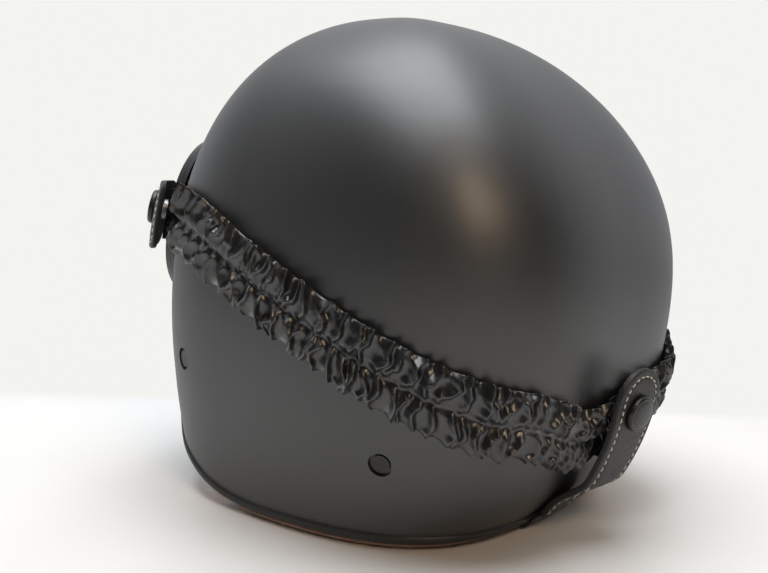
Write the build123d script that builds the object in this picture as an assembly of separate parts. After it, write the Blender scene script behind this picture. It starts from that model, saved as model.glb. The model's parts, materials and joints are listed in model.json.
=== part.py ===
"""Open-face motorcycle helmet with strapped goggles, modelled piece by piece.

Millimetres, +Z up.  The face looks along -Y and the wearer's left side is +X.
The origin is the middle of the whole object's box, on the surface that it stands on.
"""
import os
from functools import lru_cache
from math import atan2, cos, degrees, pi, radians, sin, sqrt

from build123d import *

# ---------------------------------------------------------------- driving dimensions
# Shell outline.  "Depth" means the distance in from the shell's outer surface;
# a negative depth lies outside the shell.
half_width = 121.0            # widest half breadth
rear_reach = 153.0            # widest section's centre to the back
front_reach = 108.0           # widest section's centre to the brow
crown_height = 258.0          # top of the shell above the surface it stands on
widest_z = 115.0              # height of the widest section
side_tuck = 0.125             # share of the half breadth lost at the bottom
rear_tuck = 0.22              # share of the rear reach lost at the bottom
rear_tuck_power = 3.1
front_tuck = 0.20
side_fullness = 0.20          # how much the crown bulges past an ellipse
rear_fullness = -0.115
front_fullness = 0.02
corner_power = 2.55           # plan outline: 2 is an ellipse, more is squarer
corner_power_swing = 0.70     # squarer at the back, rounder at the front
lean_back = 0.065             # the helmet rests tipped back by this slope
center_y = -26.0              # widest section's centre, from the origin

# Shell wall, edge and side-view outline
shell_wall = 4.0
rim_z = 5.3                   # lower edge of the shell at the back
rim_rise_start_y = -14.0      # from the section centre: where the lower edge starts to rise
cheek_front_y = -72.0         # front edge of the cheek, from the section centre
cheek_corner_z = 32.0         # height of the rounded lower front corner
brow_z = 172.0                # brow edge
rim_rise_radius = 110.0
cheek_corner_radius = 28.0
temple_radius = 24.0
bead_proud = 1.3              # rubber edging: stands out from the wall
bead_cap = 1.8                # and past the edge
bead_lap = 3.6                # and laps over the wall
bead_gap = 0.2

# Lining
soft_gap = 0.3
foam_depth = 28.0             # inner face of the energy-absorbing liner
foam_edge_gap = 6.5           # liner set back from the brow and cheek edges
foam_bottom_z = 24.0
lining_depth = 35.0           # inner face of the comfort lining
cheek_pad_outer = 29.0
cheek_pad_depth = 47.0
cheek_pad_rear_y = 34.0
cheek_pad_inner_x = 66.0      # the pads come no nearer to the middle than this
face_half_width = 70.0        # clear width for the face between the liner's front edges
face_rear_y = -42.0
face_top_gap = 16.0           # liner below the brow edge
cheek_pad_top_z = 112.0
cheek_pad_bottom_z = 13.0
roll_outer = 6.0              # neck roll and cheek trims start inside the edging
roll_depth = 27.0
roll_split_y = -10.0          # neck roll behind, cheek trims in front

# Chin strap fixings
rivet_rear = (88.0, 46.0)     # y from the section centre, z
rivet_front = (-38.0, 76.0)
pocket_radius = 5.8
pocket_depth = 2.1
rivet_shank_radius = 2.4
rivet_head_radius = 4.4
rivet_head_height = 1.3
plate_radius = 8.0
plate_thickness = 1.2
plate_gap = 0.6
web_width = 20.0
web_thickness = 1.8
web_slot_gap = 1.0
junction_y = 22.0
junction_z = 6.5
junction_depth = 44.0
strap_z = 3.4                 # middle of the lower strap layer
left_strap_end_x = 34.0
right_strap_end_x = -14.0
right_strap_back_x = -50.0
fold_gap = 2.6
ring_wire_radius = 1.5
ring_width = 26.0
ring_length = 19.0
ring_tilt = 34.0              # the outer ring rests across the inner one

# Goggle strap
strap_gap = 0.4
strap_thickness = 9.8
strap_width = 34.5
strap_rear_z = 62.0           # centre line at the back
strap_front_z = 186.0         # centre line's height at the brow, if it went that far
strap_end_y = -57.0
strap_droop_y = -10.0         # in front of this the strap levels out
strap_end_drop = 12.0         # so that its end is lower by this much
strap_dip = 11.0              # the tab draws the strap down beside it by this much
strap_dip_x = 24.0            # where it is lowest
strap_dip_reach = 46.0        # and how far each way the dip runs out
elastic_width = 28.0
elastic_thickness = 1.6

# Goggles
goggle_half_width = 89.0
goggle_top_z = 190.0
goggle_bottom_z = 99.0
goggle_corner = 34.0
nose_radius = 21.0
nose_center_drop = 4.0
gasket_gap = 1.6              # clears the rubber edging
gasket_thickness = 2.2
frame_thickness = 2.6
lens_thickness = 1.6
bezel_lip = 1.5
frame_ring = 13.0
lens_lap = 5.0
bezel_lap = 8.5
part_gap = 0.2
stud_gap = 0.45
stud_seat = 0.15               # the end studs' flat feet clear the curved lug by this

# Goggle end tabs and their press studs
end_tab_thickness = 3.0
end_tab_rear_y = -52.0
end_tab_front_y = -82.0
end_tab_height = 35.0
lug_height = 26.0
stud_y = -65.0
cap_radius = 9.2
cap_edge = 1.2                # step in the cap's rim
cap_height = 4.2
socket_radius = 5.4
socket_height = 1.6
stud_radius = 2.6

# Rear retaining tab
tab_x = 8.0                   # the tab sits a little to the left of the middle
tab_twist = 9.0               # and turns to the left over the strap, in degrees
tab_thickness = 3.2
tab_width = 31.0
tab_foot_width = 27.0
tab_top_z = 89.0
tab_foot_z = 9.5
tab_over_shell = 1.3
tab_over_strap = 1.0
stud_base = 2.6               # the rear stud stands on the strap, this far under the tab
tab_cap_z = 68.0
keeper_width = 32.0
keeper_thickness = 2.4
keeper_bottom_z = 1.0

FAR = 400.0                   # larger than the helmet, for half spaces and cutters


# ---------------------------------------------------------------- shell surface
def plan_reach(z, depth):
    """Half breadth, rear reach and front reach of the outline at height z."""
    top = crown_height - depth
    half = half_width - depth
    rear = rear_reach - depth
    front = front_reach - depth
    if z >= widest_z:
        up = min((z - widest_z) / (top - widest_z), 1.0)
        arc = sqrt(1 - up * up)
        return (half * arc * (1 + side_fullness * up * up),
                rear * arc * (1 + rear_fullness * up * up),
                front * arc * (1 + front_fullness * up * up))
    down = (widest_z - z) / widest_z
    return (half * (1 - side_tuck * down ** 2),
            rear * (1 - rear_tuck * down ** rear_tuck_power),
            front * (1 - front_tuck * down ** 2))


def surface_point(angle, z, depth):
    """Point at height z; the angle runs from +X (left side) towards +Y (back)."""
    half, rear, front = plan_reach(z, depth)
    cx = cos(angle)
    cy = sin(angle)
    reach = rear if cy > 0 else front
    power = corner_power + corner_power_swing * cy
    radius = (abs(cx / half) ** power + abs(cy / reach) ** power) ** (-1 / power)
    return Vector(radius * cx, radius * cy + lean_back * (z - widest_z) + center_y, z)


@lru_cache(maxsize=None)
def shell_body(depth, bottom=-9.0):
    """Closed solid inside the shell surface at the given depth."""
    top = crown_height - depth
    heights = [bottom, 22.0, 52.0, 84.0, widest_z]
    heights += [widest_z + (top - widest_z) * sin(radians(a)) for a in (16, 31, 45, 58, 69, 78, 85)]
    wires = []
    for z in heights:
        ring = [surface_point(2 * pi * i / 28, z, depth) for i in range(28)]
        wires.append(Wire([Edge.make_spline(ring, periodic=True)]))
    apex = Vertex(*Vector(0, lean_back * (top - widest_z) + center_y, top))
    return Solid.make_loft(wires + [apex])


# ---------------------------------------------------------------- cutting helpers
def half_space(low, high):
    """Box from one corner to the other; None means no limit on that side."""
    low = [-FAR if v is None else v for v in low]
    high = [FAR if v is None else v for v in high]
    size = [b - a for a, b in zip(low, high)]
    return Pos(low[0], low[1], low[2]) * Box(*size, align=Align.MIN)


def side_cut(sketch):
    """Extrude a sketch drawn as (y, z) right through the helmet along X."""
    return extrude(Plane.YZ * sketch, amount=FAR, both=True)


def front_cut(sketch):
    """Extrude a sketch drawn as (x, z) through the front half of the helmet."""
    return extrude(Plane.XZ * sketch, amount=FAR)


@lru_cache(maxsize=None)
def coverage(grow=0.0, bottom_lift=0.0):
    """The part of the side view that the shell covers, grown or shrunk along its edge."""
    outline = FilletPolyline(
        (FAR, rim_z + bottom_lift),
        (center_y + rim_rise_start_y, rim_z + bottom_lift),
        (center_y + cheek_front_y, cheek_corner_z + bottom_lift),
        (center_y + cheek_front_y, brow_z),
        (-FAR, brow_z),
        radius=[rim_rise_radius, cheek_corner_radius, temple_radius],
    )
    closing = Polyline((-FAR, brow_z), (-FAR, FAR), (FAR, FAR), (FAR, rim_z + bottom_lift))
    face = make_face(outline + closing)
    if grow:
        face = offset(face, amount=grow, kind=Kind.ARC)
    return side_cut(face)


@lru_cache(maxsize=None)
def wall(outer, inner):
    """Layer between two depths, closed over the crown."""
    return shell_body(outer) - shell_body(inner)


def strap_line_z(y):
    """Height of the goggle strap's centre line; y is from the widest section's centre."""
    ahead = min(max(strap_droop_y - y, 0), strap_droop_y - strap_end_y)
    droop = strap_end_drop * (ahead / (strap_droop_y - strap_end_y)) ** 2
    if y < strap_end_y:
        droop += 2 * strap_end_drop * (strap_end_y - y) / (strap_droop_y - strap_end_y)
    share = (rear_reach - y) / (rear_reach + front_reach)
    return strap_rear_z + (strap_front_z - strap_rear_z) * share - droop


def strap_slope(y):
    """Unit direction of the centre line at y, as (y, z), towards the back."""
    return Vector(1, strap_line_z(y + 0.5) - strap_line_z(y - 0.5)).normalized()


def strap_dip_at(x):
    """How far the strap's centre line drops below its plane at this x."""
    share = min(abs(x - strap_dip_x) / strap_dip_reach, 1)
    return strap_dip * cos(share * pi / 2) ** 2


def level_end(width, end_y):
    """Side view of the strap's path where it levels out, from the droop's start to its end."""
    steps = 8
    places = [strap_droop_y + (end_y - strap_droop_y) * i / steps for i in range(steps + 1)]
    edges = []
    for side in (width / 2, -width / 2):
        points = []
        for y in places:
            slope = strap_slope(y if y < strap_droop_y else y + 1)
            points.append((center_y + y - slope.Y * side, strap_line_z(y) + slope.X * side))
        edges.append(Spline(points))
    ends = [Line(edges[0] @ end, edges[1] @ end) for end in (0, 1)]
    return side_cut(make_face(edges[0] + edges[1] + ends[0] + ends[1]))


def strap_band(width, end_y):
    """The strap's path: a band seen along its slope, with the dip, from behind the helmet."""
    run = strap_slope(0)
    slope = Vector(0, run.X, run.Y)
    rear_y = rear_reach + 60
    low, high = strap_dip_x - strap_dip_reach, strap_dip_x + strap_dip_reach
    steps = 12
    places = [low + (high - low) * i / steps for i in range(steps + 1)]
    edges = []
    for side in (width / 2, -width / 2):
        dipped = [(x, side - strap_dip_at(x) * slope.Y) for x in places]
        edges.append(Line((-FAR, side), (low, side)) + Spline(dipped, tangents=[(1, 0), (1, 0)])
                     + Line((high, side), (FAR, side)))
    ends = [Line((x, width / 2), (x, -width / 2)) for x in (-FAR, FAR)]
    start = Plane(origin=(0, center_y + rear_y, strap_line_z(rear_y)), x_dir=(1, 0, 0), z_dir=-slope)
    band = make_face(edges[0] + edges[1] + ends[0] + ends[1])
    return extrude(start * band, amount=(rear_y - strap_droop_y) / slope.Y) + level_end(width, end_y)


def strap_strip(width, rear_y, front_y):
    """Slanting strip in the side view, along the strap's centre line."""
    middle = (rear_y + front_y) / 2
    slope = strap_slope(middle)
    length = (rear_y - front_y) / slope.X
    angle = degrees(atan2(slope.Y, slope.X))
    strip = Pos(center_y + middle, strap_line_z(middle)) * Rot(0, 0, angle) * Rectangle(length, width)
    return side_cut(strip)


def angle_at(y, z, depth):
    """Angle whose surface point has this y, found by halving."""
    low, high = -pi / 2, pi / 2
    for _ in range(50):
        mid = (low + high) / 2
        if surface_point(mid, z, depth).Y < y + center_y:
            low = mid
        else:
            high = mid
    return mid


def surface_plane(y, z, side):
    """Plane on the shell surface, its Z pointing straight out; side is +1 left, -1 right."""
    angle = angle_at(y, z, 0)
    step = 0.01
    point = surface_point(angle, z, 0)
    along = surface_point(angle + step, z, 0) - surface_point(angle - step, z, 0)
    up = surface_point(angle, z + step, 0) - surface_point(angle, z - step, 0)
    normal = along.cross(up).normalized()
    mirror = Vector(side, 1, 1)
    point = Vector(point.X * mirror.X, point.Y, point.Z)
    normal = Vector(normal.X * mirror.X, normal.Y, normal.Z)
    return Plane(origin=point, x_dir=Vector(0, 0, 1).cross(normal), z_dir=normal)


def disc(plane, radius, start, end, bore=0.0):
    """Round piece along a plane's normal, from one standoff to another."""
    piece = plane * Pos(0, 0, min(start, end)) * Cylinder(
        radius, abs(end - start), align=(Align.CENTER, Align.CENTER, Align.MIN))
    if bore:
        piece -= plane * Pos(0, 0, min(start, end) - 1) * Cylinder(
            bore, abs(end - start) + 2, align=(Align.CENTER, Align.CENTER, Align.MIN))
    return piece


def one_side(part, side):
    """Keep the half on the wearer's left (+1) or right (-1)."""
    if side > 0:
        return part & half_space((0, None, None), (None, None, None))
    return part & half_space((None, None, None), (0, None, None))


nodes = {}


def keep(name, shape):
    """Register a finished piece under its node name."""
    solids = shape.solids()
    nodes[name] = solids[0] if len(solids) == 1 else Compound(children=list(solids))


# ---------------------------------------------------------------- rivet positions
rivet_planes = [surface_plane(y, z, side) for side in (1, -1) for y, z in (rivet_rear, rivet_front)]
web_outer = shell_wall + plate_gap + plate_thickness
web_inner = web_outer + web_thickness
rivet_tail = 1.0


def junction(side):
    """Where the two legs of a chin strap meet, under the cheek pad."""
    point = surface_point(angle_at(junction_y, junction_z, junction_depth), junction_z, junction_depth)
    return Vector(side * point.X, point.Y, point.Z)


def strap_leg(plane, side, extra=0.0):
    """Webbing from a rivet down to the junction."""
    end = junction(side)
    aim = end - plane.origin
    downhill = (aim - plane.z_dir * aim.dot(plane.z_dir)).normalized()
    start = plane.origin - plane.z_dir * (web_outer + web_thickness / 2) + downhill * (rivet_head_radius + 3.5)
    run = end - start
    across = run.cross(plane.z_dir).normalized()
    section = Plane(origin=start, x_dir=across, z_dir=run.normalized())
    leg = extrude(section * Rectangle(web_width + extra, web_thickness + extra), amount=run.length)
    eye = plane * Pos(0, 0, -(web_outer + web_thickness / 2)) * Box(
        web_width + extra, web_width + extra, web_thickness + extra)
    return leg + eye


def leg_slots(side):
    """Room in the lining for both legs of one side."""
    return (strap_leg(rivet_planes[0 if side > 0 else 2], side, 2 * web_slot_gap)
            + strap_leg(rivet_planes[1 if side > 0 else 3], side, 2 * web_slot_gap))


# ---------------------------------------------------------------- shell and edging
def make_outer_shell():
    shell = wall(0, shell_wall) & coverage()
    for plane in rivet_planes:
        shell -= disc(plane, pocket_radius, -pocket_depth, 3)
        shell -= disc(plane, rivet_shank_radius, -2 * shell_wall, 3)
    return shell


def make_edge_bead():
    """Channel-section rubber that grips the shell's edge all the way round."""
    strip = (wall(-bead_proud, shell_wall + bead_proud) & coverage(bead_cap)) - coverage(-bead_lap)
    return strip - (wall(-bead_gap, shell_wall + bead_gap) & coverage(bead_gap))


outer_shell = make_outer_shell()
keep("outer_shell", outer_shell)
keep("edge_bead", make_edge_bead())


# ---------------------------------------------------------------- lining
foam_lift = foam_bottom_z - rim_z
slots = {side: leg_slots(side) for side in (1, -1)}
tail_reach = web_inner + rivet_tail + soft_gap


def face_space():
    """Clear space for the face, between the front edges of the lining."""
    return half_space(
        (-face_half_width, None, None),
        (face_half_width, center_y + face_rear_y, brow_z - face_top_gap))


def make_foam():
    foam = wall(shell_wall + soft_gap, foam_depth) & coverage(-foam_edge_gap, foam_lift)
    foam &= half_space((None, None, foam_bottom_z), (None, None, None))
    for side in (1, -1):
        foam -= slots[side]
    for plane in rivet_planes:
        foam -= disc(plane, plate_radius + 1, -tail_reach, 0)
    return foam - face_space()


def cheek_box(margin):
    """The block of space that the cheek pads fill."""
    return half_space(
        (None, center_y + cheek_front_y, cheek_pad_bottom_z - margin),
        (None, center_y + cheek_pad_rear_y + margin, cheek_pad_top_z + margin))


def make_comfort_lining():
    lining = wall(foam_depth + soft_gap, lining_depth) & coverage(-foam_edge_gap - 1, foam_lift)
    lining &= half_space((None, None, foam_bottom_z), (None, None, None))
    lining -= cheek_box(0.5)
    lining -= face_space()
    for side in (1, -1):
        lining -= slots[side]
    return lining.solids().sort_by(SortBy.VOLUME)[-1]


def make_cheek_pad(side):
    pad = one_side(wall(cheek_pad_outer, cheek_pad_depth) & cheek_box(0), side)
    pad &= coverage(-foam_edge_gap)
    pad -= half_space((-cheek_pad_inner_x, None, None), (cheek_pad_inner_x, None, None))
    pad -= slots[side]
    return pad.solids().sort_by(SortBy.VOLUME)[-1]


def roll_ring():
    """Padded ring under the foam; its lower face is what the helmet stands on."""
    ring = wall(roll_outer, roll_depth) & coverage(rim_z)
    return ring - coverage(0, foam_lift - 0.4)


def make_neck_roll(ring):
    roll = ring & half_space((None, center_y + roll_split_y + 0.2, 0), (None, None, foam_bottom_z - 0.4))
    for side in (1, -1):
        roll -= slots[side]
    return roll.solids().sort_by(SortBy.VOLUME)[-1]


def make_cheek_trim(ring, side):
    trim = one_side(ring, side)
    trim &= half_space((None, center_y + cheek_front_y + 8, 0), (None, center_y + roll_split_y - 0.2, None))
    trim -= slots[side]
    return trim.solids().sort_by(SortBy.VOLUME)[-1]


ring = roll_ring()
keep("impact_foam", make_foam())
keep("comfort_lining", make_comfort_lining())
keep("neck_roll", make_neck_roll(ring))
for side, word in ((1, "left"), (-1, "right")):
    keep("cheek_pad_" + word, make_cheek_pad(side))
    keep("cheek_trim_" + word, make_cheek_trim(ring, side))


# ---------------------------------------------------------------- chin strap
def make_rivet(plane):
    rivet = disc(plane, rivet_head_radius, -pocket_depth, -pocket_depth + rivet_head_height)
    rivet += disc(plane, rivet_shank_radius, -web_inner, -pocket_depth)
    rivet += disc(plane, rivet_head_radius, -web_inner - rivet_tail, -web_inner)
    return rivet


def make_strap_legs(side):
    legs = Part()
    for plane in rivet_planes[0 if side > 0 else 2:][:2]:
        legs += strap_leg(plane, side) - disc(plane, rivet_shank_radius, -2 * web_inner, 3)
    return legs & half_space((None, None, 1.2), (None, None, None))


def make_slider(side, legs):
    """Plastic divider that joins the two legs to the chin strap."""
    point = junction(side)
    return Pos(point.X, point.Y, slider_z) * Box(*slider_size) - legs


def flat_web(x0, x1, y, z):
    """Flat run of webbing along X, by the middle of its thickness."""
    return Pos((x0 + x1) / 2, y, z) * Box(abs(x1 - x0), web_width, web_thickness)


slider_size = (10.0, 27.0, 4.6)
slider_z = 4.4
hem_radius = 1.4
left_hinge_x = junction(1).X - slider_size[0] / 2 - hem_radius - 0.3
right_hinge_x = -left_hinge_x
loop_bore = ring_wire_radius + 0.25
loop_outer = loop_bore + web_thickness * 0.6
loop_z = strap_z + 1.4
loop_x = [left_strap_end_x - loop_outer + 0.4, left_strap_end_x - 3 * loop_outer + 0.8]


def along_y(radius, length, x, y, z):
    return Pos(x, y, z) * Rot(90, 0, 0) * Cylinder(radius, length)


def make_left_strap(y):
    strap = flat_web(left_strap_end_x - 0.5, left_hinge_x, y, strap_z)
    strap += along_y(hem_radius, web_width, left_hinge_x, y, strap_z)
    for x in loop_x:
        strap += along_y(loop_outer, web_width, x, y, loop_z)
    for x in loop_x:
        strap -= along_y(loop_bore, web_width + 2, x, y, loop_z)
    return strap


def make_right_strap(y):
    inner = fold_gap / 2
    outer = inner + web_thickness
    upper_z = strap_z + web_thickness + fold_gap
    middle_z = (strap_z + upper_z) / 2
    strap = flat_web(right_hinge_x, right_strap_end_x, y, strap_z)
    strap += along_y(hem_radius, web_width, right_hinge_x, y, strap_z)
    strap += flat_web(right_strap_back_x, right_strap_end_x, y, upper_z)
    bend = along_y(outer, web_width, right_strap_end_x, y, middle_z)
    bend -= along_y(inner, web_width + 2, right_strap_end_x, y, middle_z)
    return strap + (bend & half_space((right_strap_end_x, None, None), (None, None, None)))


def make_d_ring(x, y, tilt):
    """Wire ring: a straight bar in the webbing loop and a bow beyond it."""
    half = ring_width / 2
    bar = along_y(ring_wire_radius, ring_width, 0, 0, 0)
    bow_line = ThreePointArc((0, -half, 0), (-ring_length, 0, 0), (0, half, 0))
    bow = sweep(Plane(origin=bow_line @ 0, z_dir=bow_line % 0) * Circle(ring_wire_radius), path=bow_line)
    corners = [Pos(0, s * half, 0) * Sphere(ring_wire_radius) for s in (1, -1)]
    return Pos(x, y, loop_z) * Rot(0, tilt, 0) * (bar + bow + corners[0] + corners[1])


web_y = junction(1).Y
keep("strap_rivets", Compound(children=[make_rivet(p) for p in rivet_planes]))
keep("strap_anchor_plates", Compound(children=[
    disc(p, plate_radius, -web_outer, -shell_wall - plate_gap, rivet_shank_radius) for p in rivet_planes]))
for side, word in ((1, "left"), (-1, "right")):
    legs = make_strap_legs(side)
    keep("strap_legs_" + word, legs)
    keep("strap_divider_" + word, make_slider(side, legs))
keep("chin_strap_left", make_left_strap(web_y))
keep("chin_strap_right", make_right_strap(web_y))
keep("d_ring_outer", make_d_ring(loop_x[0], web_y, ring_tilt))
keep("d_ring_inner", make_d_ring(loop_x[1], web_y, 0))


# ---------------------------------------------------------------- press studs
def make_cap(plane, base):
    """Domed press-stud cap with a post that goes down through the leather."""
    cap = disc(plane, cap_radius, base, base + cap_height * 0.55)
    cap += disc(plane, cap_radius - cap_edge, base + cap_height * 0.55, base + cap_height)
    return cap


# ---------------------------------------------------------------- rear retaining tab
strap_outer = strap_gap + strap_thickness
elastic_mid = strap_gap + strap_thickness / 2


def ease(value):
    """Smooth step from 0 to 1."""
    value = min(max(value, 0), 1)
    return value * value * (3 - 2 * value)


strap_low_z = strap_rear_z - strap_width / 2 - 12
tab_bend_z = tab_foot_z + 8


def over_strap(z):
    """0 at the tab's foot, 1 where it lies over the strap."""
    return ease((z - tab_bend_z) / (strap_low_z - tab_bend_z))


def tab_standoff(z):
    """How far the tab's inner face stands off the shell, along its middle."""
    over = strap_outer + tab_over_strap + tab_width / 2 * sin(radians(tab_twist))
    return tab_over_shell + (over - tab_over_shell) * over_strap(z)


def tab_point(z, extra):
    """Point of the tab's section on its middle plane, as (y, z)."""
    inner = surface_point(pi / 2, z, -tab_standoff(z))
    above = surface_point(pi / 2, z + 0.5, -tab_standoff(z + 0.5))
    run = (above - inner).normalized()
    return (inner.Y + run.Z * extra, z - run.Y * extra)


def tab_plane(z, extra):
    """Plane across the tab; its X runs across, turned by the twist, and its Y points out."""
    point = Vector(tab_x, *tab_point(z, extra))
    above = Vector(tab_x, *tab_point(z + 0.5, extra))
    turn = radians(tab_twist) * over_strap(z)
    return Plane(origin=point, x_dir=(-cos(turn), sin(turn), 0), z_dir=point - above)


def tab_strip():
    """The tab before its outline is cut: flat sections lofted up the back."""
    steps = 14
    low = tab_foot_z - tab_thickness
    heights = [low + (tab_top_z + 2 - low) * i / steps for i in range(steps + 1)]
    sections = [tab_plane(z, tab_thickness / 2) * Rectangle(tab_width + 6, tab_thickness) for z in heights]
    return loft(sections)


def tab_outline():
    """Round-topped strip in the rear view, narrowing a little to the foot."""
    top = tab_top_z - tab_width / 2
    half = tab_width / 2
    foot = tab_foot_width / 2
    body = Polyline((-foot, 0), (foot, 0), (half, top), (-half, top), close=True)
    return Pos(tab_x, 0) * (make_face(body) + Pos(0, top) * Circle(half))


def tab_hinge():
    """Where the tab's outer face crosses its foot, as (y, z): the line that it folds on."""
    low, high = tab_foot_z - tab_thickness, tab_foot_z + tab_thickness * 2
    for _ in range(40):
        mid = (low + high) / 2
        if tab_point(mid, tab_thickness)[1] < tab_foot_z:
            low = mid
        else:
            high = mid
    return tab_point(mid, tab_thickness)


def tab_snap_plane():
    """Plane on the tab's inner face at the press stud, its Z pointing out through the tab."""
    across = tab_plane(tab_cap_z, 0)
    return Plane(origin=across.origin, x_dir=(1, 0, 0), z_dir=across.y_dir)


tab_axis = tab_hinge()
tab_in = tab_snap_plane()
tab_body = tab_strip() & extrude(Plane.XZ * tab_outline(), amount=-FAR)
tab_body &= half_space((None, None, tab_foot_z), (None, None, None))
tab_body -= disc(tab_in, stud_radius, -10, 20)
keep("rear_tab", tab_body)
keep("rear_tab_cap", make_cap(tab_in, tab_thickness + 0.15)
     + disc(tab_in, stud_radius - 0.1, 0.1, tab_thickness + 0.15))
keep("rear_tab_socket", disc(tab_in, socket_radius, -socket_height - 0.1, -0.1, stud_radius - 0.4))


def make_tab_root():
    """Stitched root of the tab: it turns under the edging and rises behind it."""
    reach_in = roll_outer - 0.3
    left, right = tab_x - keeper_width / 2, tab_x + keeper_width / 2
    root = (wall(-tab_over_shell - bead_proud - keeper_thickness, reach_in)
            & half_space((left, 0, keeper_bottom_z), (right, None, rim_z - bead_cap - 0.2)))
    rise = (wall(-tab_over_shell - bead_proud - keeper_thickness, -tab_over_shell - bead_proud)
            & half_space((left, 0, keeper_bottom_z), (right, None, tab_foot_z - 0.3)))
    return root + rise


keep("rear_tab_root", make_tab_root())


# ---------------------------------------------------------------- goggle strap


def strap_layer(inner, outer, width, end_y):
    """Band around the outside of the shell between two standoffs."""
    return wall(-outer, -inner) & strap_band(width, end_y)


def make_strap_cover():
    cover = strap_layer(strap_gap, strap_outer, strap_width, strap_end_y)
    half = elastic_thickness / 2 + part_gap
    return cover - strap_layer(elastic_mid - half, elastic_mid + half, elastic_width + 2 * part_gap, strap_end_y - 5)


keep("strap_cover", make_strap_cover())
keep("strap_elastic", strap_layer(
    elastic_mid - elastic_thickness / 2, elastic_mid + elastic_thickness / 2, elastic_width, strap_end_y))
keep("rear_stud", disc(tab_in, socket_radius - 1.2, -stud_base, -socket_height - 0.4)
     + disc(tab_in, stud_radius - 0.6, -socket_height - 0.4, -0.4))


# ---------------------------------------------------------------- goggles
gasket_out = gasket_gap + gasket_thickness
frame_in = gasket_out + part_gap
frame_out = frame_in + frame_thickness
lens_in = frame_out + part_gap
lens_out = lens_in + lens_thickness
bezel_out = lens_out + part_gap + bezel_lip
end_tab_in = strap_outer + 0.3
end_tab_out = end_tab_in + end_tab_thickness
lug_out = end_tab_in - stud_gap - socket_height - 1.0


def goggle_outline(inset=0.0):
    """Front view of the goggles, with the nose arch."""
    middle_z = (goggle_top_z + goggle_bottom_z) / 2
    height = goggle_top_z - goggle_bottom_z
    body = Pos(0, middle_z) * RectangleRounded(2 * goggle_half_width, height, goggle_corner)
    nose = Pos(0, goggle_bottom_z - nose_center_drop) * Circle(nose_radius)
    outline = body - nose
    if inset:
        outline = offset(outline, amount=-inset, kind=Kind.ARC)
    return outline


def goggle_layer(inner, outer, sketch):
    return wall(-outer, -inner) & front_cut(sketch)


def make_goggle_frame():
    """Curved frame ring with a lug on each side for the strap's end tabs."""
    frame = goggle_layer(frame_in, frame_out, goggle_outline() - goggle_outline(frame_ring))
    lugs = wall(-lug_out, -frame_in) & strap_strip(lug_height, strap_end_y - 1.5, end_tab_front_y)
    return frame + (lugs - front_cut(goggle_outline(lens_lap - part_gap)))


def make_lens_bezel():
    rim = goggle_layer(lens_in, bezel_out, goggle_outline() - goggle_outline(lens_lap - part_gap))
    lip = goggle_layer(lens_out + part_gap, bezel_out, goggle_outline() - goggle_outline(bezel_lap))
    bezel = rim + lip
    return bezel - (wall(-lug_out - part_gap, 0) & strap_strip(lug_height + 1, strap_end_y, end_tab_front_y - 1))


def make_end_tab(side):
    strip = strap_strip(end_tab_height, end_tab_rear_y, end_tab_front_y)
    tab = one_side(wall(-end_tab_out, -end_tab_in) & strip, side)
    return tab - disc(end_plane(side), stud_radius, 0, 2 * end_tab_out)


def end_plane(side):
    return surface_plane(stud_y, strap_line_z(stud_y), side)


keep("goggle_frame", make_goggle_frame())
keep("face_foam", goggle_layer(gasket_gap, gasket_out, goggle_outline(0.8) - goggle_outline(frame_ring - 1)))
keep("goggle_lens", goggle_layer(lens_in, lens_out, goggle_outline(lens_lap)))
keep("lens_bezel", make_lens_bezel())
for side, word in ((1, "left"), (-1, "right")):
    keep("end_tab_" + word, make_end_tab(side))
end_caps = []
end_sockets = []
end_studs = []
for side in (1, -1):
    plane = end_plane(side)
    end_caps.append(make_cap(plane, end_tab_out + 0.1)
                    + disc(plane, stud_radius - 0.1, end_tab_in, end_tab_out + 0.1))
    socket_out = end_tab_in - stud_gap
    end_sockets.append(disc(plane, socket_radius, socket_out - socket_height, socket_out, stud_radius))
    end_studs.append(disc(plane, socket_radius - 0.6, lug_out + stud_seat, lug_out + 0.8)
                     + disc(plane, stud_radius - 0.6, lug_out + 0.8, socket_out - 0.3))
keep("end_tab_caps", Compound(children=end_caps))
keep("end_tab_sockets", Compound(children=end_sockets))
keep("end_tab_studs", Compound(children=end_studs))


# ---------------------------------------------------------------- write the pieces
os.makedirs("parts", exist_ok=True)
for name, shape in nodes.items():
    export_step(shape, "parts/" + name + ".step")

print("tab axis y, z:", tab_axis)
print("chin strap hinge x, y, z:", left_hinge_x, web_y, strap_z)
print("ring axes x, z:", loop_x, loop_z)
everything = Compound(children=list(nodes.values())).bounding_box()
print("box:", everything)
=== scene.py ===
"""Looks for the open-face helmet with strapped goggles, in metres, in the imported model's frame."""
import json
from math import cos, pi, radians, sin, sqrt

import bmesh
import bpy
import numpy as np
from mathutils import Matrix, Vector


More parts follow.
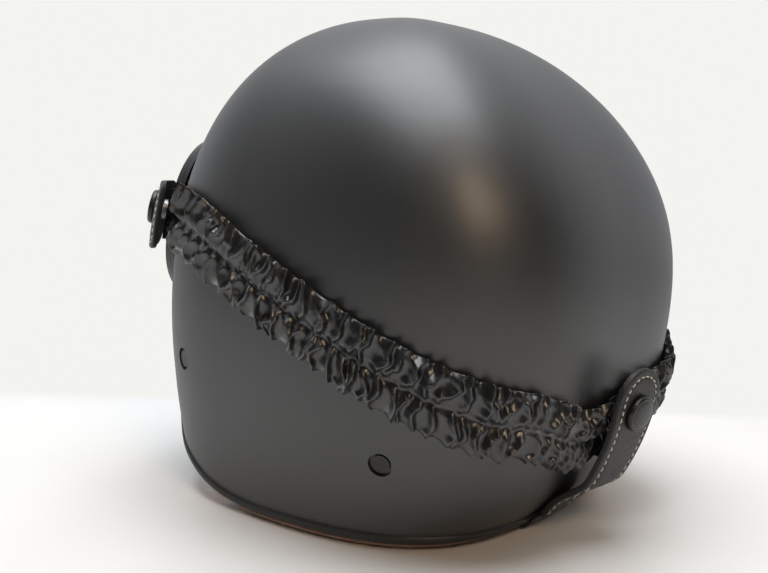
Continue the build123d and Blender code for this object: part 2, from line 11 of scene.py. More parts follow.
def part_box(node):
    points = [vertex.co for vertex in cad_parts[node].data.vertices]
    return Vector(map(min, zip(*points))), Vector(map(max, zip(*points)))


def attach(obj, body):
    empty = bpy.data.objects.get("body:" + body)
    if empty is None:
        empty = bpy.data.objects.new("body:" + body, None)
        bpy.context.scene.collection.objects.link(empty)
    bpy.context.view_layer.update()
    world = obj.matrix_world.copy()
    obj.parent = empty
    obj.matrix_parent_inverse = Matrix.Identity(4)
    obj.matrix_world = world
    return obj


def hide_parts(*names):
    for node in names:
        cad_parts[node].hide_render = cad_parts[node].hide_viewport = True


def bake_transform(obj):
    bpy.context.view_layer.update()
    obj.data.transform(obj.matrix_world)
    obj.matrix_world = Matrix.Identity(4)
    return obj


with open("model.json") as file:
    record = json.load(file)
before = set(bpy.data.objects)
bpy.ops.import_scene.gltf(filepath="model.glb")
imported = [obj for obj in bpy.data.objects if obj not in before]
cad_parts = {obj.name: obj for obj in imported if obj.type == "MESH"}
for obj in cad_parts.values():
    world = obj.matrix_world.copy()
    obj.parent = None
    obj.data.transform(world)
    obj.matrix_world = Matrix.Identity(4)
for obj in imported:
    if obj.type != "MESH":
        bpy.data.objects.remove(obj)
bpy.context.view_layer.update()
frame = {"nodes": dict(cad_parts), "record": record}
nodes = frame["nodes"]
scene = bpy.context.scene

# ------------------------------------------------------------ shell surface (as in the CAD model)
MM = 0.001
half_width = 121.0 * MM
rear_reach = 153.0 * MM
front_reach = 108.0 * MM
crown_height = 258.0 * MM
widest_z = 115.0 * MM
side_tuck = 0.125
rear_tuck = 0.22
rear_tuck_power = 3.1
front_tuck = 0.20
side_fullness = 0.20
rear_fullness = -0.115
front_fullness = 0.02
corner_power = 2.55
corner_power_swing = 0.70
lean_back = 0.065
center_y = -26.0 * MM


def surface_points(angle, z, depth):
    """Points on the shell surface, as an array; angle runs from +X towards +Y, depth is inwards."""
    angle = np.asarray(angle, float)
    z = np.asarray(z, float)
    top = crown_height - depth
    up = np.clip((z - widest_z) / (top - widest_z), 0, 1)
    down = np.clip((widest_z - z) / widest_z, 0, 2)
    arc = np.sqrt(np.maximum(1 - up * up, 1e-12))
    half = (half_width - depth) * arc * (1 + side_fullness * up ** 2) * (1 - side_tuck * down ** 2)
    rear = (rear_reach - depth) * arc * (1 + rear_fullness * up ** 2)
    rear = rear * (1 - rear_tuck * down ** rear_tuck_power)
    front = (front_reach - depth) * arc * (1 + front_fullness * up ** 2) * (1 - front_tuck * down ** 2)
    cx, cy = np.cos(angle), np.sin(angle)
    reach = np.where(cy > 0, rear, front)
    power = corner_power + corner_power_swing * cy
    radius = (np.abs(cx / half) ** power + np.abs(cy / reach) ** power) ** (-1 / power)
    x = radius * cx
    y = radius * cy + lean_back * (z - widest_z) + center_y
    return np.stack([x, y, z + 0 * x], -1)


def surface_normals(angle, z, depth):
    """Outward unit normals at those points."""
    step = 1e-4
    along = surface_points(angle + step, z, depth) - surface_points(angle - step, z, depth)
    up = surface_points(angle, z + step, depth) - surface_points(angle, z - step, depth)
    normal = np.cross(along, up)
    return normal / np.linalg.norm(normal, axis=-1, keepdims=True)


# ------------------------------------------------------------ camera
camera_place = Vector((0.428, 0.329, 0.183))
camera_heading = radians(50.34)      # from the back towards the wearer's left
camera_pitch = radians(-7.63)
camera_roll = radians(1.83)
camera_lens = 45.35


def make_camera():
    data = bpy.data.cameras.new("camera")
    data.lens = camera_lens
    data.sensor_width = 36
    camera = bpy.data.objects.new("camera", data)
    scene.collection.objects.link(camera)
    look = Vector((-sin(camera_heading) * cos(camera_pitch),
                   -cos(camera_heading) * cos(camera_pitch), sin(camera_pitch)))
    turn = look.to_track_quat("-Z", "Y").to_matrix().to_4x4()
    roll = Matrix.Rotation(camera_roll, 4, "Z")
    camera.matrix_world = Matrix.Translation(camera_place) @ turn @ roll
    scene.camera = camera


make_camera()


# ------------------------------------------------------------ material helpers
class Shader:
    """A node material under construction."""

    def __init__(self, name):
        self.material = bpy.data.materials.new(name)
        self.material.use_nodes = True
        self.tree = self.material.node_tree
        self.surface = self.tree.nodes["Principled BSDF"]
        self.place = self.add("ShaderNodeTexCoord").outputs["Object"]

    def add(self, kind, **settings):
        node = self.tree.nodes.new(kind)
        for key, value in settings.items():
            setattr(node, key, value)
        return node

    def link(self, source, target):
        self.tree.links.new(source, target)

    def set(self, **values):
        for key, value in values.items():
            self.surface.inputs[key.replace("_", " ")].default_value = value
        return self

    def noise(self, scale, detail=4.0, rough=0.55, stretch=None):
        node = self.add("ShaderNodeTexNoise")
        node.inputs["Scale"].default_value = scale
        node.inputs["Detail"].default_value = detail
        node.inputs["Roughness"].default_value = rough
        self.link(self.stretched(stretch) if stretch else self.place, node.inputs["Vector"])
        return node.outputs["Fac"]

    def stretched(self, amounts):
        node = self.add("ShaderNodeMapping")
        node.inputs["Scale"].default_value = amounts
        self.link(self.place, node.inputs["Vector"])
        return node.outputs["Vector"]

    def cells(self, scale, feature="F1", stretch=None, randomness=1.0):
        node = self.add("ShaderNodeTexVoronoi", feature=feature)
        node.inputs["Scale"].default_value = scale
        node.inputs["Randomness"].default_value = randomness
        self.link(self.stretched(stretch) if stretch else self.place, node.inputs["Vector"])
        return node.outputs["Distance"]

    def ramp(self, value, low, high, start=0.3, end=0.7):
        """Map a value between start and end to low..high; numbers or colours."""
        node = self.add("ShaderNodeMapRange" if isinstance(low, (int, float)) else "ShaderNodeValToRGB")
        if isinstance(low, (int, float)):
            node.inputs["From Min"].default_value = start
            node.inputs["From Max"].default_value = end
            node.inputs["To Min"].default_value = low
            node.inputs["To Max"].default_value = high
            self.link(value, node.inputs["Value"])
            return node.outputs["Result"]
        node.color_ramp.elements[0].position = start
        node.color_ramp.elements[1].position = end
        node.color_ramp.elements[0].color = (*low, 1)
        node.color_ramp.elements[1].color = (*high, 1)
        self.link(value, node.inputs["Fac"])
        return node.outputs["Color"]

    def mix(self, factor, first, second):
        """Mix two colours (outputs or tuples) by a value."""
        node = self.add("ShaderNodeMix", data_type="RGBA")
        self.link(factor, node.inputs["Factor"])
        for source, slot in ((first, "A"), (second, "B")):
            socket = [s for s in node.inputs if s.name == slot and s.type == "RGBA"][0]
            if isinstance(source, tuple):
                socket.default_value = (*source, 1)
            else:
                self.link(source, socket)
        return [s for s in node.outputs if s.type == "RGBA"][0]

    def math(self, operation, first, second):
        node = self.add("ShaderNodeMath", operation=operation)
        for source, socket in ((first, node.inputs[0]), (second, node.inputs[1])):
            if isinstance(source, (int, float)):
                socket.default_value = source
            else:
                self.link(source, socket)
        return node.outputs[0]

    def bump(self, height, strength, distance, below=None):
        node = self.add("ShaderNodeBump")
        node.inputs["Strength"].default_value = strength
        node.inputs["Distance"].default_value = distance
        self.link(height, node.inputs["Height"])
        if below is not None:
            self.link(below, node.inputs["Normal"])
        return node.outputs["Normal"]

    def color(self, source):
        self.link(source, self.surface.inputs["Base Color"])
        return self

    def roughness(self, source):
        self.link(source, self.surface.inputs["Roughness"])
        return self

    def normal(self, source):
        self.link(source, self.surface.inputs["Normal"])
        return self


def shell_paint():
    """Matte black lacquer: a fine soft orange peel, cloudy wear and a few faint scuffs."""
    s = Shader("shell_paint")
    cloud = s.noise(14, 5, 0.6)
    scuff = s.noise(60, 8, 0.75, (1.0, 1.0, 0.25))
    base = s.ramp(cloud, (0.0095, 0.0105, 0.0115), (0.0135, 0.0142, 0.015))
    marks = s.ramp(scuff, 0.0, 1.0, 0.70, 0.78)
    s.color(s.mix(s.math("MULTIPLY", marks, 0.35), base, (0.06, 0.06, 0.06)))
    s.roughness(s.math("ADD", s.ramp(cloud, 0.43, 0.48), s.math("MULTIPLY", marks, 0.06)))
    peel = s.noise(1400, 2, 0.5)
    s.normal(s.bump(peel, 0.12, 0.0002))
    s.set(IOR=1.8)
    return s.material


def rubber():
    s = Shader("rubber_edge")
    dust = s.noise(180, 5, 0.7)
    s.color(s.ramp(dust, (0.010, 0.010, 0.010), (0.028, 0.027, 0.026), 0.4, 0.8))
    s.roughness(s.ramp(dust, 0.38, 0.6))
    s.normal(s.bump(s.noise(2500, 2), 0.15, 0.0001))
    return s.material


def foam():
    """Moulded bead foam: packed cells of about 3 mm."""
    s = Shader("foam_black")
    beads = s.cells(330)
    s.color(s.ramp(beads, (0.045, 0.045, 0.047), (0.018, 0.018, 0.019), 0.2, 0.8))
    s.set(Roughness=0.8)
    s.normal(s.bump(beads, 0.6, 0.0006))
    return s.material


def knit(name, dark, light, pitch=1100.0):
    """Brushed knitted cloth."""
    s = Shader(name)
    loops = s.cells(pitch, "F1", (1.0, 1.0, 0.7), 0.35)
    fuzz = s.noise(700, 6, 0.7)
    s.color(s.mix(fuzz, s.ramp(loops, light, dark, 0.1, 0.8), dark))
    s.set(Roughness=0.95, Sheen_Weight=0.35, Sheen_Roughness=0.5)
    s.normal(s.bump(fuzz, 0.4, 0.0005, s.bump(loops, 0.7, 0.0005)))
    return s.material


def leather(name, dark, light, grain=900.0, rough=(0.38, 0.55), depth=0.0003, coat=0.0):
    """Grained leather: cell-like pores with fine creases between them."""
    s = Shader(name)
    pores = s.cells(grain, "F1", None, 1.0)
    creases = s.noise(grain * 0.28, 8, 0.65)
    cloud = s.noise(35, 4, 0.6)
    s.color(s.mix(s.ramp(pores, 0.0, 0.6, 0.1, 0.9), s.ramp(cloud, dark, light), dark))
    s.roughness(s.ramp(creases, rough[0], rough[1]))
    s.normal(s.bump(pores, 0.35, depth, s.bump(creases, 0.5, depth)))
    s.set(Coat_Weight=coat, Coat_Roughness=0.25)
    return s.material


def metal(name, tone, rough=0.28):
    s = Shader(name)
    brushed = s.noise(900, 4, 0.6, (1, 1, 0.1))
    s.color(s.ramp(brushed, tuple(c * 0.8 for c in tone), tone))
    s.roughness(s.ramp(brushed, rough, rough + 0.15))
    s.set(Metallic=1.0)
    s.normal(s.bump(brushed, 0.1, 0.0001))
    return s.material


def enamel(name, tone=(0.012, 0.012, 0.013), rough=0.3):
    """Black enamelled metal with hair-fine rubbing."""
    s = Shader(name)
    rub = s.noise(500, 6, 0.7)
    s.color(s.ramp(rub, tone, tuple(c * 2.2 for c in tone), 0.55, 0.8))
    s.roughness(s.ramp(rub, rough, rough + 0.2))
    s.normal(s.bump(rub, 0.08, 0.0001))
    return s.material


def plastic(name, tone=(0.014, 0.014, 0.015), rough=0.34):
    s = Shader(name)
    grain = s.noise(1800, 3, 0.6)
    s.color(s.ramp(grain, tone, tuple(c * 1.5 for c in tone)))
    s.roughness(s.ramp(grain, rough, rough + 0.12))
    s.normal(s.bump(grain, 0.12, 0.0001))
    return s.material


def webbing():
    """Woven strap: raised diagonal rows, with painted shade in the grooves between them."""
    s = Shader("webbing")
    wave = s.add("ShaderNodeTexWave", bands_direction="DIAGONAL")
    wave.inputs["Scale"].default_value = 260
    wave.inputs["Distortion"].default_value = 1.2
    wave.inputs["Detail Scale"].default_value = 4
    s.link(s.place, wave.inputs["Vector"])
    # painted shade: the colour is darker where the wave sinks between the rows and lighter on their raised
    # tops
    s.color(s.ramp(wave.outputs["Fac"], (0.008, 0.008, 0.009), (0.04, 0.04, 0.042)))
    s.set(Roughness=0.75, Sheen_Weight=0.2)
    s.normal(s.bump(wave.outputs["Fac"], 0.8, 0.0004))
    return s.material


def smoke_lens():
    s = Shader("smoke_lens")
    s.set(Base_Color=(0.16, 0.165, 0.18, 1), Roughness=0.04, Transmission_Weight=1.0, IOR=1.5)
    s.normal(s.bump(s.noise(40, 2), 0.02, 0.0002))
    return s.material


def cell_foam():
    s = Shader("face_foam")
    pits = s.cells(1500)
    # painted shade: darkest in the middles of the sunk pits, lighter on the cell walls
    s.color(s.ramp(pits, (0.006, 0.006, 0.006), (0.035, 0.035, 0.036), 0.1, 0.6))
    s.set(Roughness=0.95)
    s.normal(s.bump(pits, 0.9, 0.0006))
    return s.material


def thread():
    """Waxed cream sewing thread."""
    s = Shader("thread")
    twist = s.noise(2500, 3, 0.6)
    s.color(s.ramp(twist, (0.42, 0.39, 0.33), (0.68, 0.65, 0.58)))
    s.set(Roughness=0.6, Sheen_Weight=0.2)
    s.normal(s.bump(twist, 0.5, 0.0001))
    return s.material


looks = {
    "shell_paint": shell_paint(),
    "rubber_edge": rubber(),
    "foam_black": foam(),
    "lining_cloth": knit("lining_cloth", (0.035, 0.033, 0.03), (0.13, 0.12, 0.11)),
    "tan_leather": leather("tan_leather", (0.42, 0.25, 0.17), (0.62, 0.41, 0.30), 1400, (0.45, 0.65)),
    "steel": metal("steel", (0.62, 0.62, 0.63)),
    "black_rivet": enamel("black_rivet", (0.011, 0.011, 0.011), 0.35),
    "webbing": webbing(),
    "black_plastic": plastic("black_plastic"),
    "ruched_leather": leather("ruched_leather", (0.005, 0.0053, 0.0056), (0.011, 0.0115, 0.012), 1500,
                              (0.28, 0.40), 0.00012, 0.8),
    "elastic": knit("elastic", (0.01, 0.01, 0.01), (0.04, 0.04, 0.04), 1500),
    "tab_leather": leather("tab_leather", (0.010, 0.010, 0.0105), (0.022, 0.022, 0.023), 1100,
                           (0.42, 0.58), 0.0003),
    "cap_black": enamel("cap_black", (0.010, 0.010, 0.011), 0.24),
    "frame_black": plastic("frame_black", (0.010, 0.010, 0.011), 0.22),
    "face_foam": cell_foam(),
    "smoke_lens": smoke_lens(),
    "thread": thread(),
}


def dress_frame():
    """Give every CAD node the look of its material slot."""
    for entry in frame["record"]["subparts"]:
        mesh = nodes[entry["node"]].data
        mesh.materials.clear()
        mesh.materials.append(looks[entry["material_slot"]])


dress_frame()


# ------------------------------------------------------------ stage and lights
backdrop_tone = (0.90, 0.895, 0.87)
behind = (-0.77, -0.638, 0.0)         # away from the camera
table_edge = 0.15                     # past the middle of the helmet, away from the camera
table_edge_blur = 0.02
floor_fade = (0.45, 1.1)              # distances over which the floor turns into the backdrop
floor_half = 3.0
room_dim, wall_bright = 0.05, 0.85    # the world as a light, in front and behind


def make_floor():
    """White table top; past its far edge, and far out, the camera sees the plain backdrop tone."""
    mesh = bpy.data.meshes.new("floor")
    h = floor_half
    mesh.from_pydata([(-h, -h, 0), (h, -h, 0), (h, h, 0), (-h, h, 0)], [], [(0, 1, 2, 3)])
    floor = bpy.data.objects.new("floor", mesh)
    scene.collection.objects.link(floor)
    s = Shader("floor")
    grain = s.noise(9, 3, 0.5)
    s.color(s.ramp(grain, (0.80, 0.79, 0.775), (0.83, 0.82, 0.805)))
    s.set(Roughness=0.5)
    along = s.add("ShaderNodeVectorMath", operation="DOT_PRODUCT")
    s.link(s.place, along.inputs[0])
    along.inputs[1].default_value = behind
    far = s.add("ShaderNodeVectorMath", operation="LENGTH")
    s.link(s.place, far.inputs[0])
    past = s.ramp(along.outputs["Value"], 0.0, 1.0, table_edge, table_edge + table_edge_blur)
    out = s.ramp(far.outputs["Value"], 0.0, 1.0, *floor_fade)
    cover = s.math("MAXIMUM", past, out)
    path = s.add("ShaderNodeLightPath")
    cover = s.math("MULTIPLY", cover, path.outputs["Is Camera Ray"])
    glow = s.add("ShaderNodeEmission")
    glow.inputs["Color"].default_value = (*backdrop_tone, 1)
    both = s.add("ShaderNodeMixShader")
    s.link(cover, both.inputs["Fac"])
    s.link(s.surface.outputs[0], both.inputs[1])
    s.link(glow.outputs[0], both.inputs[2])
    s.link(both.outputs[0], s.tree.nodes["Material Output"].inputs["Surface"])
    mesh.materials.append(s.material)


def area_light(name, place, aim, size, power, tone=(1, 1, 1)):
    data = bpy.data.lights.new(name, "AREA")
    data.shape = "RECTANGLE"
    data.size, data.size_y = size
    data.energy = power
    data.color = tone
    light = bpy.data.objects.new(name, data)
    light.location = place
    light.rotation_euler = (Vector(aim) - Vector(place)).to_track_quat("-Z", "Y").to_euler()
    scene.collection.objects.link(light)


def make_world():
    """Plain pale tone to the camera and through the lens.

    As a light it is a bright wall behind the helmet and a dim room in front.
    """
    world = bpy.data.worlds.new("studio")
    scene.world = world
    world.use_nodes = True
    tree = world.node_tree
    shade = tree.nodes["Background"]
    shade.inputs["Color"].default_value = (0.95, 0.97, 1.0, 1)
    place = tree.nodes.new("ShaderNodeTexCoord")
    along = tree.nodes.new("ShaderNodeVectorMath")
    along.operation = "DOT_PRODUCT"
    along.inputs[1].default_value = behind
    tree.links.new(place.outputs["Generated"], along.inputs[0])
    level = tree.nodes.new("ShaderNodeMapRange")
    level.interpolation_type = "SMOOTHSTEP"
    level.inputs["From Min"].default_value = -0.25
    level.inputs["From Max"].default_value = 0.45
    level.inputs["To Min"].default_value = room_dim
    level.inputs["To Max"].default_value = wall_bright
    tree.links.new(along.outputs["Value"], level.inputs["Value"])
    tree.links.new(level.outputs["Result"], shade.inputs["Strength"])
    seen = tree.nodes.new("ShaderNodeBackground")
    seen.inputs["Color"].default_value = (*backdrop_tone, 1)
    path = tree.nodes.new("ShaderNodeLightPath")
    clear = tree.nodes.new("ShaderNodeMath")
    clear.operation = "MAXIMUM"
    tree.links.new(path.outputs["Is Camera Ray"], clear.inputs[0])
    tree.links.new(path.outputs["Is Transmission Ray"], clear.inputs[1])
    both = tree.nodes.new("ShaderNodeMixShader")
    tree.links.new(clear.outputs[0], both.inputs["Fac"])
    tree.links.new(shade.outputs["Background"], both.inputs[1])
    tree.links.new(seen.outputs["Background"], both.inputs[2])
    tree.links.new(both.outputs["Shader"], tree.nodes["World Output"].inputs["Surface"])


make_floor()
make_world()
area_light("top_soft", (0.08, -0.05, 1.4), (0, 0, 0.1), (1.1, 1.1), 20.0, (0.94, 0.97, 1.0))
area_light("warm_soft", (0.62, 1.0, 0.95), (0.05, 0.08, 0.14), (0.4, 0.4), 5.0, (1.0, 0.74, 0.50))
scene.view_settings.view_transform = "Standard"


# ------------------------------------------------------------ mesh helpers
def new_piece(name, verts, faces, look, body, smooth=True):
    """A mesh object with a look, riding on a body."""
    mesh = bpy.data.meshes.new(name)
    mesh.from_pydata([tuple(map(float, v)) for v in verts], [], faces)
    mesh.validate()
    mesh.polygons.foreach_set("use_smooth", [smooth] * len(mesh.polygons))
    mesh.materials.append(looks[look])
    piece = bpy.data.objects.new(name, mesh)
    scene.collection.objects.link(piece)
    fix_normals(mesh)
    if body:
        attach(piece, body)
    return piece


def fix_normals(mesh):
    work = bmesh.new()
    work.from_mesh(mesh)
    bmesh.ops.recalc_face_normals(work, faces=work.faces)
    work.to_mesh(mesh)
    work.free()


def tube_faces(rows, around, closed_run=False, caps=True):
    """Quads over a grid of closed sections; the ends are capped with a face each."""
    faces = []
    last = rows if closed_run else rows - 1
    for i in range(last):
        a, b = i * around, ((i + 1) % rows) * around
        for j in range(around):
            k = (j + 1) % around
            faces.append((a + j, a + k, b + k, b + j))
    if caps and not closed_run:
        faces.append(tuple(range(around - 1, -1, -1)))
        faces.append(tuple((rows - 1) * around + j for j in range(around)))
    return faces


def subdivide(piece, levels=1):
    modifier = piece.modifiers.new("smooth", "SUBSURF")
    modifier.levels = modifier.render_levels = levels
    return piece


def smooth_noise(seed, count, low=-1.0, high=1.0):
    """A function of one variable: seeded random values at whole numbers, eased between."""
    rng = np.random.default_rng(seed)
    values = rng.uniform(low, high, count)

    def at(x):
        x = np.asarray(x, float) % count
        i = np.floor(x).astype(int) % count
        t = x - np.floor(x)
        t = t * t * (3 - 2 * t)
        return values[i] * (1 - t) + values[(i + 1) % count] * t
    return at


# ------------------------------------------------------------ goggle strap
strap_gap = 0.4 * MM
strap_thickness = 9.8 * MM
strap_width = 34.5 * MM
strap_rear_z = 62.0 * MM
strap_front_z = 186.0 * MM
strap_end_y = -57.0 * MM
strap_droop_y = -10.0 * MM
strap_end_drop = 12.0 * MM
strap_dip = 11.0 * MM
strap_dip_x = 24.0 * MM
strap_dip_reach = 46.0 * MM
strap_slope = -(strap_front_z - strap_rear_z) / (rear_reach + front_reach)


def strap_line_z(y):
    """Height of the strap's centre line; y is from the widest section's centre."""
    reach = strap_droop_y - strap_end_y
    droop = strap_end_drop * (np.clip(strap_droop_y - y, 0, reach) / reach) ** 2
    droop = droop + 2 * strap_end_drop * np.maximum(strap_end_y - y, 0) / reach
    return strap_rear_z + strap_slope * (y - rear_reach) - droop


def strap_dip_at(x):
    """How far the strap's centre line drops below its plane at this x."""
    share = np.clip(np.abs(x - strap_dip_x) / strap_dip_reach, 0, 1)
    return strap_dip * np.cos(share * pi / 2) ** 2


def strap_point(angle, across, standoff):
    """Point over the shell at a distance across the strap's centre line and a standoff."""
    angle, across, standoff = np.broadcast_arrays(angle, across, standoff)
    z = strap_line_z(np.zeros_like(angle)) + 0 * across
    for _ in range(14):
        spot = surface_points(angle, z, -standoff)
        y = spot[..., 1] - center_y
        slope = (strap_line_z(y + MM) - strap_line_z(y - MM)) / (2 * MM)
        level = strap_line_z(y) + across * np.sqrt(1 + slope ** 2) - strap_dip_at(spot[..., 0])
        z = 0.5 * z + 0.5 * level
    return surface_points(angle, z, -standoff)


def even_angles(start, end, step):
    """Angles along the strap's centre line, evenly spaced over the surface."""
    fine = np.linspace(start, end, 2000)
    run = strap_point(fine, 0.0, 0.005)
    length = np.concatenate([[0], np.cumsum(np.linalg.norm(np.diff(run, axis=0), axis=1))])
    count = int(length[-1] / step) + 1
    places = np.linspace(0, length[-1], count)
    return np.interp(places, length, fine), places


def strap_end_angle():
    """Angle at which the centre line reaches the strap's left end."""
    low, high = -pi / 2, pi / 2
    for _ in range(50):
        middle = (low + high) / 2
        y = strap_point(np.array([middle]), 0.0, 0.005)[0, 1] - center_y
        low, high = (middle, high) if y < strap_end_y else (low, middle)
    return middle


def fold_table(seed, length, spacing, lean):
    """Random folds of one row: where each starts at the seam and at the edge, its width and height."""
    rng = np.random.default_rng(seed)
    folds = []
    s = -0.01
    while s < length + 0.01:
        s += spacing * rng.uniform(0.62, 1.45)
        folds.append((s, s + lean + rng.uniform(-1, 1) * 0.30 * spacing,
                      rng.uniform(0.8, 1.25) * spacing, rng.uniform(0.62, 1.0),
                      rng.uniform(0.0, 1.0)))
    return folds


def fold_height(folds, s, t, warp, crest_share=0.20):
    """Height 0..1 of the gathered sheet: narrow wavy crests and hollow valleys.

    s runs along the strap; t is 0 at the seam and 1 at the edge.
    """
    total = np.zeros(s.shape)
    for seam_s, edge_s, width, tall, swell in folds:
        near = np.abs(s - (seam_s + edge_s) / 2) < fold_range
        here, along, shift = s[near], t[near], warp[near]
        wave = width * (0.16 + 0.30 * swell) * np.sin(2 * pi * (0.85 * along + swell))
        wave = wave * np.sin(pi * along * 0.8 + 0.2)
        hook = 0.55 * width * (2 * swell - 0.6) * np.clip((along - 0.62) / 0.38, 0, 1) ** 2
        crest = seam_s + (edge_s - seam_s) * along + wave + hook + shift
        x = (here - crest) / width
        body = 1 / (1 + (x / crest_share) ** 2)
        rise = np.sin(pi * np.clip(0.12 + (0.46 + 0.14 * swell) * along, 0, 1)) ** 0.6
        total[near] += (tall * rise * body) ** 4
    return total ** 0.25


fold_range = 22 * MM                  # a fold reaches no further along the strap
strap_step = 0.5 * MM
front_count, back_count = 40, 9       # points across the folded face and the plain back
strap_seam = -0.04                    # the sewn seam, as a share of the half width
top_fold_pitch, top_fold_lean = 7.2 * MM, 6.0 * MM
low_fold_pitch, low_fold_lean = 6.8 * MM, -6.0 * MM
fold_rise = 5.6 * MM
edge_crest_share = 0.30
cover_floor = 0.8 * MM                # least standoff of the cover


def make_strap_cover():
    """Thin leather gathered over elastic: two rows of leaning folds either side of a sewn seam."""
    left = strap_end_angle()
    angles, places = even_angles(left, pi - left, strap_step)
    front = np.cos(np.linspace(pi, 0, front_count))
    front = np.sign(front) * np.abs(front) ** 0.85
    s, u = np.broadcast_arrays(places[:, None], front[None, :])
    half = strap_width / 2
    upper = u > strap_seam
    t = np.where(upper, (u - strap_seam) / (1 - strap_seam), (strap_seam - u) / (1 + strap_seam))
    wander = smooth_noise(5, 400)
    fine = smooth_noise(11, 700)
    warp = 0.9 * MM * wander(s / (11 * MM) + 5 * u) + 0.25 * MM * fine(s / (5 * MM) - 5 * u)
    top = fold_table(21, places[-1], top_fold_pitch, top_fold_lean)
    low = fold_table(34, places[-1], low_fold_pitch, low_fold_lean)
    folds = np.where(upper, fold_height(top, s, t, warp), fold_height(low, s, t, -warp))
    crinkle = fine(s / (1.7 * MM) + 23 * t) * fine(s / (4.1 * MM) + 3.1 + 11 * t)
    puff = (1 - np.abs(u) ** 3.2) ** 0.6
    pinch = np.exp(-((u - strap_seam) / 0.10) ** 2)
    swell = 1 + 0.10 * wander(s / (17 * MM) + 40)
    base = 2.2 * MM + 1.6 * MM * puff - 1.5 * MM * pinch
    out = base + fold_rise * folds * swell * (0.55 + 0.45 * puff) * (1 - 0.70 * pinch)
    out += 0.22 * MM * crinkle * (0.4 + 0.6 * folds)
    out = np.clip(out, cover_floor, strap_gap + strap_thickness + 0.5 * MM)
    edge = np.ones_like(places)
    edge_top = fold_height(top, places, edge, warp[:, -1], edge_crest_share)[:, None]
    edge_low = fold_height(low, places, edge, -warp[:, 0], edge_crest_share)[:, None]
    across = u * half * np.where(upper, 0.83 + 0.24 * edge_top, 0.93 + 0.09 * edge_low)
    lean_out = np.abs(u) ** 6 * np.where(upper, edge_top, 0.5 * edge_low)
    out = out + 2.4 * MM * (lean_out - 0.40 * np.abs(u) ** 6)
    back = np.linspace(1, -1, back_count + 2)[1:-1][None, :]
    back_across = back * half * 0.86 + 0 * s[:, :1]
    back_out = 0.9 * MM + 0.35 * MM * wander(s[:, :1] / (3 * MM) + 3 * back)
    all_across = np.concatenate([across, back_across], 1)
    all_out = np.concatenate([out, back_out], 1)
    taper = np.clip(np.minimum(places, places[-1] - places) / (7 * MM), 0, 1)[:, None]
    all_out = cover_floor + (all_out - cover_floor) * (0.75 + 0.25 * taper)
    grid = strap_point(angles[:, None], all_across, all_out)
    rows, around = grid.shape[:2]
    cover = new_piece("strap_cover_gathered", grid.reshape(-1, 3), tube_faces(rows, around),
                      "ruched_leather", None)
    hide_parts("strap_cover", "strap_elastic")
    subdivide(cover)
    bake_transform(cover)


# ------------------------------------------------------------ places on the shell
def side_point(y, z, standoff, side=1):
    """Point over the shell at this y (from the section's centre) and height, on one side."""
    y, z, standoff = np.broadcast_arrays(np.asarray(y, float), z, standoff)
    low, high = np.full(y.shape, -pi / 2), np.full(y.shape, pi / 2)
    for _ in range(40):
        middle = (low + high) / 2
        behind = surface_points(middle, z, -standoff)[..., 1] < y + center_y
        low, high = np.where(behind, middle, low), np.where(behind, high, middle)
    return surface_points(middle, z, -standoff) * (side, 1, 1)


def normal_frame(y, z, side=1):
    """Point on the shell and its outward normal."""
    step = 0.5 * MM
    here = side_point(y, z, 0.0)
    normal = np.cross(side_point(y + step, z, 0.0) - side_point(y - step, z, 0.0),
                      side_point(y, z + step, 0.0) - side_point(y, z - step, 0.0))
    normal = normal / np.linalg.norm(normal)
    if normal[0] < 0:
        normal = -normal
    return here * (side, 1, 1), normal * (side, 1, 1)


# ------------------------------------------------------------ edge path
rim_z = 5.3 * MM
rim_rise_start_y = -14.0 * MM
cheek_front_y = -72.0 * MM
cheek_corner_z = 32.0 * MM
brow_z = 172.0 * MM
rim_rise_radius = 110.0 * MM
cheek_corner_radius = 28.0 * MM
temple_radius = 24.0 * MM


def rounded_corner(before, corner, after, radius, count=14):
    """Points along the arc that rounds a corner of a flat outline."""
    a, b, c = (np.array(p, float) for p in (before, corner, after))
    to_a, to_c = (a - b) / np.linalg.norm(a - b), (c - b) / np.linalg.norm(c - b)
    half = np.arccos(np.clip(to_a @ to_c, -1, 1)) / 2
    middle = b + (to_a + to_c) / np.linalg.norm(to_a + to_c) * radius / sin(half)
    start, end = b + to_a * radius / np.tan(half), b + to_c * radius / np.tan(half)
    first, last = start - middle, end - middle
    turn = np.arctan2(first[0] * last[1] - first[1] * last[0], first @ last)
    spin = [turn * i / (count - 1) for i in range(count)]
    return [middle + (first[0] * cos(t) - first[1] * sin(t), first[0] * sin(t) + first[1] * cos(t))
            for t in spin]


def resample(points, step, closed=False):
    """The same line with even spacing."""
    points = np.asarray(points, float)
    if closed:
        points = np.concatenate([points, points[:1]])
    length = np.concatenate([[0], np.cumsum(np.linalg.norm(np.diff(points, axis=0), axis=1))])
    count = max(int(length[-1] / step), 4)
    places = np.linspace(0, length[-1], count + 1)
    line = np.stack([np.interp(places, length, points[:, k]) for k in range(points.shape[1])], -1)
    return line[:-1] if closed else line


def edge_outline():
    """The shell's edge in the side view, from the rear straight to the brow, as (y, z)."""
    far = 0.4
    corners = [(far, rim_z), (rim_rise_start_y, rim_z), (cheek_front_y, cheek_corner_z),
               (cheek_front_y, brow_z), (-far, brow_z)]
    radii = (rim_rise_radius, cheek_corner_radius, temple_radius)
    points = []
    for i, radius in enumerate(radii):
        points += rounded_corner(corners[i], corners[i + 1], corners[i + 2], radius)
    return resample(points, 1.5 * MM)


def angle_of(point):
    """Angle of a surface point found with side_point."""
    low, high = -pi / 2, pi / 2
    for _ in range(50):
        middle = (low + high) / 2
        y = surface_points(middle, point[2], 0.0)[1]
        low, high = (middle, high) if y < point[1] else (low, middle)
    return middle


